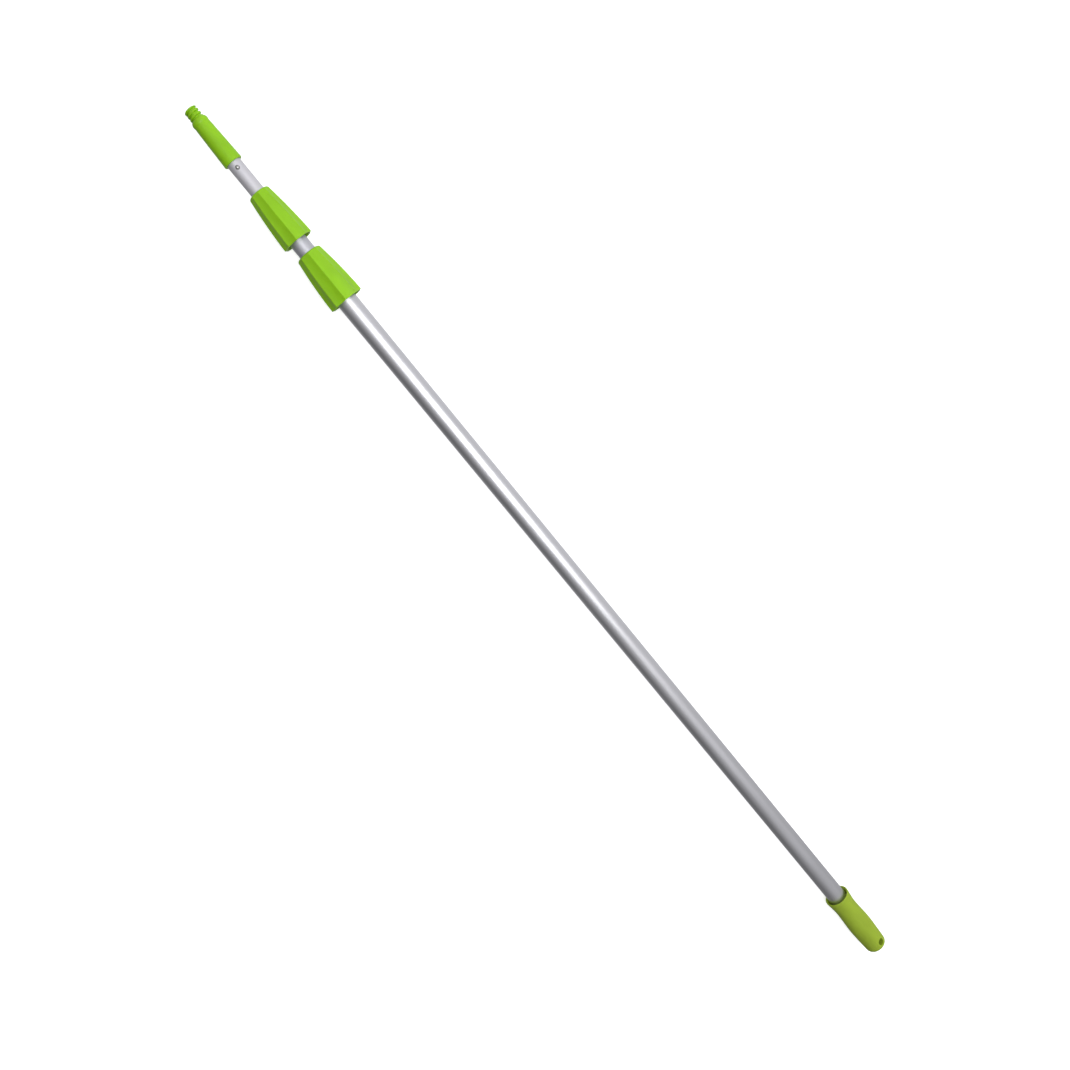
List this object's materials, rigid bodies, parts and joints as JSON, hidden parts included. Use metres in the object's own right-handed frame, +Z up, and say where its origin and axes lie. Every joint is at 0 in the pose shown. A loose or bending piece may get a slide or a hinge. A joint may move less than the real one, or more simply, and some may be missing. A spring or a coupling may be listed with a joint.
{
  "type": "telescopic cleaning pole",
  "caption": "Telescopic aluminium pole with fluted twist-lock collars, a tapered tip with a coarse thread for cleaning tools, and a moulded grip with a hang hole",
  "frame": {"origin": "half way along the collapsed pole, below its axis, on the floor that the lower collar stands on", "axes": "+X along the pole towards the threaded tip, +Z up, +Y across"},
  "size_m": [1.6728, 0.052, 0.0511],
  "materials": {
    "anodised_aluminium": "satin anodised drawn tube",
    "lime_plastic": "satin moulded polypropylene, lime green",
    "grip_plastic": "fine-grained moulded polypropylene, lime green",
    "black_nylon": "moulded glass-filled nylon",
    "grey_nylon": "turned acetal",
    "steel": "plain stainless steel",
    "bump_rubber": "moulded rubber"
  },
  "bodies": {
    "outer_section": {"outer_tube": "anodised_aluminium", "grip": "grip_plastic", "outer_tube_bung": "grey_nylon", "bump_stop": "bump_rubber", "lower_sleeve": "black_nylon", "lower_sleeve_pins": "steel"},
    "lower_clamp": {"lower_jaw": "grey_nylon"},
    "lower_lock": {"lower_collar": "lime_plastic"},
    "middle_section": {"middle_tube": "anodised_aluminium", "middle_guide_plug": "grey_nylon", "middle_plug_pin": "steel", "middle_stop_ring": "grey_nylon", "upper_sleeve": "black_nylon", "upper_sleeve_pins": "steel"},
    "upper_clamp": {"upper_jaw": "grey_nylon"},
    "upper_lock": {"upper_collar": "lime_plastic"},
    "inner_section": {"inner_tube": "anodised_aluminium", "inner_guide_plug": "grey_nylon", "inner_plug_pin": "steel", "inner_stop_ring": "grey_nylon", "tip_cone": "lime_plastic", "button_spring": "steel"},
    "release_button": {"snap_button": "steel"}
  },
  "joints": [
    {"name": "middle_slide", "type": "slide", "parent": "outer_section", "child": "middle_section", "axis": [1, 0, 0], "range_m": [0, 1.199]},
    {"name": "inner_slide", "type": "slide", "parent": "middle_section", "child": "inner_section", "axis": [1, 0, 0], "range_m": [0, 1.262]},
    {"name": "lower_clamp_travel", "type": "slide", "parent": "outer_section", "child": "lower_clamp", "axis": [1, 0, 0], "range_m": [0, 0.002]},
    {"name": "lower_twist", "type": "hinge", "parent": "lower_clamp", "child": "lower_lock", "pos_m": [0.56105, 0, 0.02483], "axis": [1, 0, 0], "range_deg": [0, 180]},
    {"name": "upper_clamp_travel", "type": "slide", "parent": "middle_section", "child": "upper_clamp", "axis": [1, 0, 0], "range_m": [0, 0.002]},
    {"name": "upper_twist", "type": "hinge", "parent": "upper_clamp", "child": "upper_lock", "pos_m": [0.66205, 0, 0.02483], "axis": [1, 0, 0], "range_deg": [0, 180]},
    {"name": "button_press", "type": "slide", "parent": "inner_section", "child": "release_button", "axis": [0, 0, -1], "range_m": [0, 0.0031], "stiffness_N_per_m": 300, "springref_m": -0.004, "deforming": ["button_spring"]}
  ],
  "couplings": [
    {"joint": "lower_twist", "follows": "lower_clamp_travel", "rad_per_m": 1570.8},
    {"joint": "upper_twist", "follows": "upper_clamp_travel", "rad_per_m": 1570.8}
  ]
}
